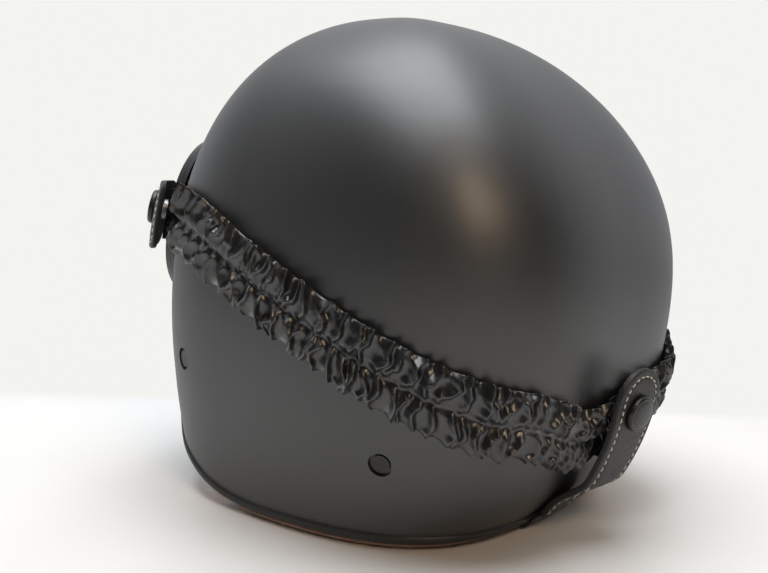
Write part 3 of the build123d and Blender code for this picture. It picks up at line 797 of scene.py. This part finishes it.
def half_edge():
    """(angle, z) along the left half of the shell's edge, from the back's middle to the brow's."""
    line = edge_outline()
    middle = [(angle_of(side_point(y, z, 0.0)), z) for y, z in line]
    rear = [(t, rim_z) for t in np.linspace(pi / 2, middle[0][0], 40)[:-1]]
    brow = [(t, brow_z) for t in np.linspace(middle[-1][0], -pi / 2, 40)[1:]]
    return rear + middle + brow


edge_line = half_edge()


def make_edge_bead():
    """Rounded rubber edging all the way round."""
    left = np.array([surface_points(t, z, 0.0) for t, z in edge_line])
    right = left[1:-1][::-1] * (-1, 1, 1)
    loop = resample(np.concatenate([left, right]), 2.0 * MM, closed=True)
    tangent = np.roll(loop, -1, 0) - np.roll(loop, 1, 0)
    tangent /= np.linalg.norm(tangent, axis=1)[:, None]
    angle = np.array([angle_of(point) for point in loop])
    normal = surface_normals(angle, loop[:, 2], 0.0)
    normal[:, 0] *= np.sign(loop[:, 0])
    outward = np.cross(tangent, normal)
    outward /= np.linalg.norm(outward, axis=1)[:, None]
    if outward[0][2] > 0:
        outward = -outward
    around = 20
    spin = np.linspace(0, 2 * pi, around, endpoint=False)
    cs, sn = np.cos(spin), np.sin(spin)
    flat = (np.abs(cs) ** 3.0 + np.abs(sn) ** 3.0) ** (-1 / 3.0)
    n_part = -2.0 * MM + 3.3 * MM * cs * flat
    b_part = -0.9 * MM + 2.7 * MM * sn * flat
    grid = (loop[:, None] + normal[:, None] * n_part[None, :, None]
            + outward[:, None] * b_part[None, :, None])
    bead = new_piece("edge_bead_rounded", grid.reshape(-1, 3), tube_faces(len(loop), around, True),
                     "rubber_edge", "helmet")
    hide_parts("edge_bead")


roll_low, roll_high = -rim_z, 18.0 * MM       # from the shell's edge
roll_near, roll_far = 6.2 * MM, 26.6 * MM      # inwards from the shell's surface
roll_around = 60
roll_power = 4.0                       # squareness of the section
roll_end = 7.0 * MM                    # the ends round off over this length
roll_ripple = 0.012
lip_depth = 1.6 * MM                   # the roll's lower lip comes out under the edging
roll_split_y = -10.0 * MM
roll_split_gap = 0.5 * MM
trim_front_y = -63.0 * MM


def padded_run(line):
    """Padded roll along part of the shell's edge; line is a list of (angle, edge z)."""
    spin = np.linspace(0, 2 * pi, roll_around, endpoint=False)
    cs, sn = np.cos(spin), np.sin(spin)
    flat = (np.abs(cs) ** roll_power + np.abs(sn) ** roll_power) ** (-1 / roll_power)
    ripple = smooth_noise(3, 60)
    points = np.array([surface_points(t, z, 0.0) for t, z in line])
    run = np.concatenate([[0], np.cumsum(np.linalg.norm(np.diff(points, axis=0), axis=1))])
    rows = []
    for (angle, edge_z), place in zip(line, run):
        end = min(place, run[-1] - place) / roll_end
        scale = sqrt(max(1 - (1 - min(end, 1)) ** 2, 0.09))
        wave = 1 + roll_ripple * ripple(place / (9 * MM))
        depth = (roll_near + roll_far) / 2 - (roll_far - roll_near) / 2 * cs * flat * scale
        rise = (roll_low + roll_high) / 2 + (roll_high - roll_low) / 2 * sn * flat * scale * wave
        rise = np.maximum(rise, roll_low + 0.2 * MM)
        lip = np.clip((-2.0 * MM - rise) / (0.5 * MM), 0, 1) * np.clip((cs * flat - 0.3) / 0.3, 0, 1)
        depth = depth + lip * (lip_depth - depth)
        rows.append(surface_points(np.full(roll_around, angle), edge_z + rise, depth))
    return np.array(rows)


def make_roll(name, grid, node):
    roll = new_piece(name, grid.reshape(-1, 3), tube_faces(*grid.shape[:2]), "tan_leather", "helmet")
    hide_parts(node)
    subdivide(roll)


def make_rolls():
    """Tan leather neck roll behind and a cheek trim on each side, under the lining."""
    lower = [(t, z) for t, z in edge_line if z < 0.06]
    spots = [surface_points(t, z, 0.0)[1] - center_y for t, z in lower]
    back = [p for p, y in zip(lower, spots) if y > roll_split_y + roll_split_gap]
    front = [p for p, y in zip(lower, spots) if trim_front_y < y < roll_split_y - roll_split_gap]
    make_roll("neck_roll_padded", padded_run([(pi - t, z) for t, z in back[::-1]] + back[1:]), "neck_roll")
    for side, word in ((1, "left"), (-1, "right")):
        make_roll("cheek_trim_padded_" + word, padded_run(front) * (side, 1, 1), "cheek_trim_" + word)


# ------------------------------------------------------------ stitched leather tabs
tab_x = 8.0 * MM
tab_twist = radians(9.0)
tab_thickness = 3.2 * MM
tab_width = 31.0 * MM
tab_foot_width = 27.0 * MM
tab_top_z = 89.0 * MM
tab_foot_z = 9.5 * MM
tab_over_shell = 1.3 * MM
tab_over_strap = 1.0 * MM
tab_cap_z = 68.0 * MM
strap_low_z = strap_rear_z - strap_width / 2 - 12 * MM
tab_bend_z = tab_foot_z + 8 * MM
stitch_inset = 3.6 * MM


def tab_surface(x, z, out):
    """Point of the rear tab: x across it, height, and distance out from its inner face."""
    x, z, out = np.broadcast_arrays(np.asarray(x, float), z, out)
    full = strap_gap + strap_thickness + tab_over_strap + tab_width / 2 * sin(tab_twist)
    step = 0.5 * MM

    def over_at(height):
        t = np.clip((height - tab_bend_z) / (strap_low_z - tab_bend_z), 0, 1)
        return t * t * (3 - 2 * t)

    def inner_face(height):
        standoff = tab_over_shell + (full - tab_over_shell) * over_at(height)
        return surface_points(np.full(height.shape, pi / 2), height, -standoff)

    here = inner_face(z)
    run = inner_face(z + step) - here
    run /= np.linalg.norm(run, axis=-1, keepdims=True)
    turn = tab_twist * over_at(z)
    return np.stack([tab_x + x * np.cos(turn), here[..., 1] + run[..., 2] * out - x * np.sin(turn),
                     z - run[..., 1] * out], -1)


def rear_outline(inset):
    """Outline of the rear tab as (x, z), from the left foot over the top to the right foot."""
    r = tab_width / 2 - inset
    c = tab_top_z - tab_width / 2
    foot = tab_foot_width / 2 - inset
    arc = [(r * cos(a), c + r * sin(a)) for a in np.linspace(0, pi, 40)]
    return [(foot, tab_foot_z + 1 * MM)] + arc + [(-foot, tab_foot_z + 1 * MM)]


def end_surface(side):
    """Mapping for an end tab: a runs rearwards along the strap, b across it."""
    base = strap_gap + strap_thickness + 0.3 * MM
    middle_y = -67.0 * MM
    tilt = (strap_line_z(middle_y + MM) - strap_line_z(middle_y - MM)) / (2 * MM)
    slope = np.array([1.0, tilt]) / sqrt(1 + tilt ** 2)

    def at(b, a, out):
        b, a, out = np.broadcast_arrays(np.asarray(b, float), a, out)
        y = middle_y + a * slope[0] - b * slope[1]
        z = strap_line_z(middle_y) + a * slope[1] + b * slope[0]
        return side_point(y, z, base + out, side)
    return at


def box_outline(half_w, low, high, radius, inset):
    """Rounded rectangle as (x, z)."""
    w, l, h, r = half_w - inset, low + inset, high - inset, max(radius - inset, 0.5 * MM)
    points = []
    corners = ((w - r, h - r, 0), (-w + r, h - r, pi / 2), (-w + r, l + r, pi), (w - r, l + r, 1.5 * pi))
    for cx, cz, start in corners:
        points += [(cx + r * cos(start + a), cz + r * sin(start + a)) for a in np.linspace(0, pi / 2, 8)]
    return points + points[:1]


def inside_distance(x, z, outline):
    """Distance from each point to an outline, as an array."""
    line = np.array(outline)
    a, b = line[:-1], line[1:]
    p = np.stack([x, z], -1)[..., None, :]
    d = b - a
    t = np.clip(((p - a) * d).sum(-1) / np.maximum((d * d).sum(-1), 1e-12), 0, 1)
    return np.linalg.norm(p - a - t[..., None] * d, axis=-1).min(-1)


def leather_panel(name, surface, outline, half_width_at, heights, thickness, body, node):
    """Thick leather with burnished edges and a stitch groove, from rows across it."""
    columns = 34
    u = np.sin(np.linspace(-pi / 2, pi / 2, columns))
    x = np.array([half_width_at(z) for z in heights])[:, None] * u[None, :]
    z = np.array(heights)[:, None] + 0 * x
    edge = inside_distance(x, z, outline)
    lip = np.clip(edge / (1.3 * MM), 0, 1)
    groove = np.exp(-((edge - stitch_inset) / (0.75 * MM)) ** 2)
    crown = 0.25 * MM * np.clip(edge / (7 * MM), 0, 1)
    top = thickness - 0.75 * MM * (1 - np.sqrt(1 - (1 - lip) ** 2)) - 0.45 * MM * groove + crown
    under = 0.55 * MM * (1 - np.sqrt(1 - (1 - lip) ** 2)) + 0 * x
    outer = surface(x, z, top)
    inner = surface(x, z, under)
    rows = len(heights)
    grid = np.concatenate([outer, inner[:, ::-1]], 1)
    panel = new_piece(name, grid.reshape(-1, 3), tube_faces(rows, 2 * columns), "tab_leather", body)
    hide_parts(node)
    subdivide(panel)


def stitches(name, surface, outline, thickness, body):
    """Cream thread: short rounded stitches that dip into the leather at their ends."""
    pitch, long, thick = 3.5 * MM, 2.5 * MM, 0.42 * MM
    line = resample(outline, 0.25 * MM)
    steps = np.linalg.norm(np.diff(line, axis=0), axis=1)
    length = np.concatenate([[0], np.cumsum(steps)])
    count = int(length[-1] / pitch)
    verts, faces = [], []
    rings, around = 7, 8
    for k in range(count):
        middle = (k + 0.5) * length[-1] / count
        places = middle + np.linspace(-long / 2, long / 2, rings)
        x, z = np.interp(places, length, line[:, 0]), np.interp(places, length, line[:, 1])
        arch = np.cos(np.linspace(-pi / 2, pi / 2, rings))
        center = surface(x, z, thickness - 0.55 * MM + 0.62 * MM * arch ** 0.5)
        above = surface(x, z, thickness + 2 * MM)
        up = above - center
        up /= np.linalg.norm(up, axis=1)[:, None]
        run = np.gradient(center, axis=0)
        across = np.cross(run, up)
        across /= np.linalg.norm(across, axis=1)[:, None]
        girth = thick * (0.45 + 0.55 * arch ** 0.4)
        start = len(verts)
        for i in range(rings):
            for j in range(around):
                a = 2 * pi * j / around
                verts.append(center[i] + girth[i] * (across[i] * cos(a) + up[i] * sin(a)))
        faces += [tuple(start + v for v in face) for face in tube_faces(rings, around)]
    new_piece(name, verts, faces, "thread", body)


def turned(name, profile, origin, normal, look, body, node, around=64):
    """Round piece from a profile of (radius, height) along a normal."""
    n = Vector(normal).normalized()
    side = n.orthogonal().normalized()
    other = n.cross(side)
    verts = []
    for radius, height in profile:
        for j in range(around):
            a = 2 * pi * j / around
            verts.append(Vector(origin) + n * height + (side * cos(a) + other * sin(a)) * radius)
    piece = new_piece(name, verts, tube_faces(len(profile), around), look, body)
    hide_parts(node)


def cap_profile(base, radius=9.2 * MM, height=4.2 * MM):
    """Press-stud cap: rolled rim, shallow ring and a low dome."""
    shape = [(0.62, 0.0), (0.90, 0.0), (0.97, 0.10), (1.0, 0.28), (0.99, 0.50), (0.955, 0.68),
             (0.90, 0.78), (0.86, 0.80), (0.83, 0.76), (0.80, 0.77), (0.74, 0.84), (0.60, 0.91),
             (0.40, 0.965), (0.20, 0.992), (0.02, 1.0)]
    return [(r * radius, base + h * height) for r, h in shape]


def make_rear_tab():
    """Stitched tab with a round top, and its press-stud cap."""
    c, r = tab_top_z - tab_width / 2, tab_width / 2
    foot = tab_foot_width / 2

    def half_at(z):
        if z > c:
            return sqrt(max(r * r - (z - c) ** 2, 1e-9))
        return foot + (r - foot) * (z - tab_foot_z) / (c - tab_foot_z)

    heights = list(np.linspace(tab_foot_z, c, 40))
    heights += [c + r * sin(a) for a in np.linspace(0, pi / 2, 22)[1:]]
    leather_panel("rear_tab_leather", tab_surface, rear_outline(0), half_at, heights, tab_thickness,
                  "rear_tab", "rear_tab")
    stitches("rear_tab_stitching", tab_surface, rear_outline(stitch_inset), tab_thickness, "rear_tab")
    origin = tab_surface(0.0, tab_cap_z, tab_thickness)
    normal = tab_surface(0.0, tab_cap_z, tab_thickness + 1 * MM) - origin
    across = tab_surface(1 * MM, tab_cap_z, tab_thickness) - origin
    up = np.cross(normal, across)
    normal = np.cross(across, up)
    turned("rear_tab_cap_domed", cap_profile(0.15 * MM), origin, normal, "cap_black", "rear_tab",
           "rear_tab_cap")


end_tab_thickness = 3.0 * MM
end_tab_half_b, end_tab_half_a = 17.5 * MM, 16.0 * MM
end_tab_corner = 6.0 * MM
end_cap_y = -65.0 * MM


def make_end_tabs():
    """Stitched tabs that hold the strap to the goggles, each with its press-stud cap."""
    half_b, low, high, r = end_tab_half_b, -end_tab_half_a, end_tab_half_a, end_tab_corner

    def half_at(a):
        near = min(a - low, high - a)
        return half_b - r + sqrt(max(r * r - max(r - near, 0) ** 2, 1e-9))

    bend = [low + r * (1 - cos(t)) for t in np.linspace(0, pi / 2, 9)]
    heights = bend + list(np.linspace(low + r, high - r, 22))[1:-1] + [-a for a in bend[::-1]]
    for side, word in ((1, "left"), (-1, "right")):
        surface = end_surface(side)
        leather_panel("end_tab_leather_" + word, surface, box_outline(half_b, low, high, r, 0), half_at,
                      heights, end_tab_thickness, "goggles", "end_tab_" + word)
        stitches("end_tab_stitching_" + word, surface, box_outline(half_b, low, high, r, stitch_inset),
                 end_tab_thickness, "goggles")
        place, normal = normal_frame(end_cap_y, strap_line_z(end_cap_y), side)
        base = strap_gap + strap_thickness + 0.3 * MM + end_tab_thickness + 0.1 * MM
        turned("end_tab_cap_" + word, cap_profile(base), place, normal, "cap_black", "goggles",
               "end_tab_caps")


# ------------------------------------------------------------ padding inside
def evaluated(piece):
    """Apply a piece's modifiers to its mesh."""
    graph = bpy.context.evaluated_depsgraph_get()
    mesh = bpy.data.meshes.new_from_object(piece.evaluated_get(graph))
    piece.modifiers.clear()
    piece.data = mesh


def read_points(mesh):
    points = np.empty(len(mesh.vertices) * 3)
    mesh.vertices.foreach_get("co", points)
    return points.reshape(-1, 3)


def read_normals(mesh):
    normals = np.empty(len(mesh.vertices) * 3)
    mesh.vertex_normals.foreach_get("vector", normals)
    return normals.reshape(-1, 3)


def write_points(mesh, points):
    mesh.vertices.foreach_set("co", points.ravel())
    mesh.update()


def remeshed(name, node, look, body, voxel, rounds, inset=0.0):
    """A finer, rounded copy of a CAD soft solid, as a new piece."""
    mesh = nodes[node].data.copy()
    mesh.materials.clear()
    mesh.materials.append(looks[look])
    piece = bpy.data.objects.new(name, mesh)
    scene.collection.objects.link(piece)
    fine = piece.modifiers.new("fine", "REMESH")
    fine.mode = "VOXEL"
    fine.voxel_size = voxel
    fine.use_smooth_shade = True
    soft = piece.modifiers.new("soft", "SMOOTH")
    soft.factor = 0.5
    soft.iterations = rounds
    evaluated(piece)
    piece.data.name = name
    if inset:
        write_points(piece.data, read_points(piece.data) - inset * read_normals(piece.data))
    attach(piece, body)
    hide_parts(node)
    return piece


def inflate(piece, pressure, most):
    """Swell a pad as sewn cloth under pressure; no point moves further than `most`."""
    before = read_points(piece.data)
    cloth = piece.modifiers.new("cloth", "CLOTH")
    settings = cloth.settings
    settings.quality = 5
    settings.mass = 0.3
    settings.use_pressure = True
    settings.uniform_pressure_force = pressure
    settings.effector_weights.gravity = 0
    cloth.point_cache.frame_start, cloth.point_cache.frame_end = 1, 20
    for step in range(1, 21):
        scene.frame_set(step)
    evaluated(piece)
    scene.frame_set(1)
    move = read_points(piece.data) - before
    far = np.linalg.norm(move, axis=1)
    move *= (np.minimum(far, most) / np.maximum(far, 1e-9))[:, None]
    write_points(piece.data, before + move)


def seam(distance, width=2.2 * MM):
    """Depth share of a sewn channel at this distance from its line."""
    return np.exp(-(distance / width) ** 2)


lining_seam_x = 36.0 * MM
lining_rib_pitch = 31.0 * MM
side_seam_z = 148.0 * MM
head_middle = np.array([0.0, center_y, 110.0 * MM])


def make_comfort_lining():
    """Padded cloth lining: a ribbed strip over the crown and plain sides, with sewn channels between."""
    piece = remeshed("comfort_lining_padded", "comfort_lining", "lining_cloth", "helmet", 3.2 * MM, 4)
    points, normals = read_points(piece.data), read_normals(piece.data)
    inward = head_middle - points
    inward /= np.linalg.norm(inward, axis=1)[:, None]
    facing = np.clip((inward * normals).sum(1) * 1.6 - 0.5, 0, 1)
    x, y, z = points.T
    strip = np.clip((lining_seam_x - np.abs(x)) / (3 * MM), 0, 1)
    across = (y - center_y + lining_rib_pitch / 2) % lining_rib_pitch - lining_rib_pitch / 2
    channel = np.maximum(seam(np.abs(x) - lining_seam_x), strip * seam(across))
    channel = np.maximum(channel, (1 - strip) * seam(z - side_seam_z))
    wrinkle = smooth_noise(8, 300)
    loose = wrinkle(x / (19 * MM) + 40) * wrinkle(y / (15 * MM) + 90)
    loose = loose + 0.5 * wrinkle(z / (13 * MM) + 7 + x / (21 * MM))
    out = facing * (0.6 * MM * loose - 2.6 * MM * channel)
    write_points(piece.data, points + out[:, None] * normals)
    subdivide(piece)


def make_cheek_pads():
    """Cloth cheek pads with a sewn channel across the face side."""
    for side, word in ((1, "left"), (-1, "right")):
        piece = remeshed("cheek_pad_padded_" + word, "cheek_pad_" + word, "lining_cloth", "helmet",
                         4.0 * MM, 3, 2.0 * MM)
        inflate(piece, 4.0, 3.0 * MM)
        points, normals = read_points(piece.data), read_normals(piece.data)
        low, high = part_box("cheek_pad_" + word)
        facing = np.clip(-side * normals[:, 0] * 1.6 - 0.4, 0, 1)
        middle_z = low[2] + 0.55 * (high[2] - low[2])
        channel = seam(points[:, 2] - middle_z - 0.25 * (points[:, 1] - center_y + 20 * MM))
        write_points(piece.data, points - (2.4 * MM * facing * channel)[:, None] * normals)
        subdivide(piece)


def make_face_foam():
    """Open-cell foam on the back of the goggles' frame, softened at its corners."""
    piece = remeshed("face_foam_cut", "face_foam", "face_foam", "goggles", 1.8 * MM, 3)


# ------------------------------------------------------------ webbing
web_width = 20.0 * MM
web_half = 0.9 * MM                    # half of the thickness
web_outer = 5.8 * MM        # under the shell, the gap and the anchor plate
rivet_spots = ((88.0 * MM, 46.0 * MM), (-38.0 * MM, 76.0 * MM))
junction_y, junction_z, junction_depth = 22.0 * MM, 6.5 * MM, 44.0 * MM
hem_half = 1.4 * MM
strap_web_z = 3.4 * MM
tail_rise = 4.4 * MM                   # from the lower layer's middle to the upper layer's
left_strap_end_x = 34.0 * MM
right_strap_end_x = -14.0 * MM
right_strap_back_x = -50.0 * MM
ring_loops = (31.57 * MM, 26.31 * MM)
loop_z, loop_radius, loop_half = 4.8 * MM, 2.29 * MM, 0.52 * MM


def web_run(name, route, across, half_thick, look, body, closed=False):
    """Woven strap along a route of middle points: rounded selvedges and fine lengthwise cords."""
    route = np.array(route, float)
    if closed:
        along = np.roll(route, -1, 0) - np.roll(route, 1, 0)
    else:
        along = np.gradient(route, axis=0)
    up = np.cross(along, np.broadcast_to(across, route.shape))
    up /= np.linalg.norm(up, axis=1)[:, None]
    side = np.cross(up, along)
    side /= np.linalg.norm(side, axis=1)[:, None]
    columns = 36
    u = np.sin(np.linspace(-pi / 2, pi / 2, columns))
    cords = 0.12 * np.abs(np.sin(u * 9 * pi / 2))
    selvedge = 0.16 * np.exp(-((np.abs(u) - 0.90) / 0.05) ** 2)
    share = np.sqrt(np.clip(1 - np.abs(u) ** 20, 0, 1)) * np.minimum(0.80 + cords + selvedge, 1)
    share = np.maximum(share, 0.05)
    ring_u = np.concatenate([u, u[::-1]]) * web_width / 2
    ring_up = np.concatenate([share, -share[::-1]])
    thick = np.broadcast_to(np.asarray(half_thick, float), (len(route),))
    grid = (route[:, None] + side[:, None] * ring_u[None, :, None]
            + up[:, None] * (ring_up[None, :] * thick[:, None])[:, :, None])
    return new_piece(name, grid.reshape(-1, 3), tube_faces(len(route), 2 * columns, closed), look, body)


def make_strap_legs():
    """Two woven legs on each side, from the rivets down to the divider."""
    for side, word in ((1, "left"), (-1, "right")):
        end = side_point(junction_y, junction_z, -junction_depth, side)
        legs = []
        for k, (y, z) in enumerate(rivet_spots):
            place, normal = normal_frame(y, z, side)
            inner = place - normal * (web_outer + web_half)
            aim = end - inner
            downhill = aim - normal * (aim @ normal)
            downhill /= np.linalg.norm(downhill)
            turn = inner + downhill * 7.9 * MM
            stops = np.array([inner - downhill * 9.6 * MM, turn, end])
            route = np.concatenate([np.linspace(stops[0], stops[1], 12)[:-1],
                                    np.linspace(stops[1], stops[2], 50)])
            across = np.cross(end - turn, normal)
            legs.append(web_run("strap_leg_%s_%d" % (word, k + 1), route, across, web_half,
                                "webbing", "helmet"))
        for leg in legs:
            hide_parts("strap_legs_" + word)


def make_chin_straps():
    """Left strap with its hem and ring loops; right strap with its tail folded back over it."""
    y = junction_y + center_y
    hinge = abs(side_point(junction_y, junction_z, -junction_depth)[0]) - 5 * MM - hem_half - 0.3 * MM

    def hemmed(xs):
        """Half thickness along the strap, with its rolled hem at the hinge."""
        near = np.clip(hem_half ** 2 - (np.abs(xs) - hinge) ** 2, 0, None)
        return np.maximum(web_half, np.sqrt(near))

    xs = np.linspace(hinge + 1.33 * MM, left_strap_end_x - 0.4 * MM, 60)
    route = np.stack([xs, 0 * xs + y, 0 * xs + strap_web_z], 1)
    strap = web_run("chin_strap_left_woven", route, (0, 1, 0), hemmed(xs), "webbing", "chin_strap_left")
    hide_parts("chin_strap_left")
    spin = np.linspace(0, 2 * pi, 28, endpoint=False)
    for k, x in enumerate(ring_loops):
        loop = np.stack([x + loop_radius * np.cos(spin), 0 * spin + y,
                         loop_z + loop_radius * np.sin(spin)], 1)
        piece = web_run("ring_loop_%d" % (k + 1), loop, (0, 1, 0), loop_half, "webbing",
                        "chin_strap_left", True)
        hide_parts("chin_strap_left")
    lower = np.linspace(-hinge - 1.33 * MM, right_strap_end_x, 70)
    upper = np.linspace(right_strap_end_x, right_strap_back_x, 50)
    bend = np.linspace(-pi / 2, pi / 2, 16)[1:-1]
    middle_z = strap_web_z + tail_rise / 2
    xs = np.concatenate([lower, right_strap_end_x + tail_rise / 2 * np.cos(bend), upper])
    zs = np.concatenate([0 * lower + strap_web_z, middle_z + tail_rise / 2 * np.sin(bend),
                         0 * upper + strap_web_z + tail_rise])
    half = np.concatenate([hemmed(lower), 0 * bend + web_half, 0 * upper + web_half])
    route = np.stack([xs, 0 * xs + y, zs], 1)
    strap = web_run("chin_strap_right_woven", route, (0, 1, 0), half, "webbing", "chin_strap_right")
    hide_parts("chin_strap_right")


def make_tab_root():
    """Leather end of the rear tab, sewn under the rim."""
    remeshed("rear_tab_root_leather", "rear_tab_root", "tab_leather", "helmet", 0.7 * MM, 3)


make_strap_cover()
make_edge_bead()
make_rolls()
make_rear_tab()
make_end_tabs()
make_comfort_lining()
make_cheek_pads()
make_face_foam()
make_strap_legs()
make_chin_straps()
make_tab_root()
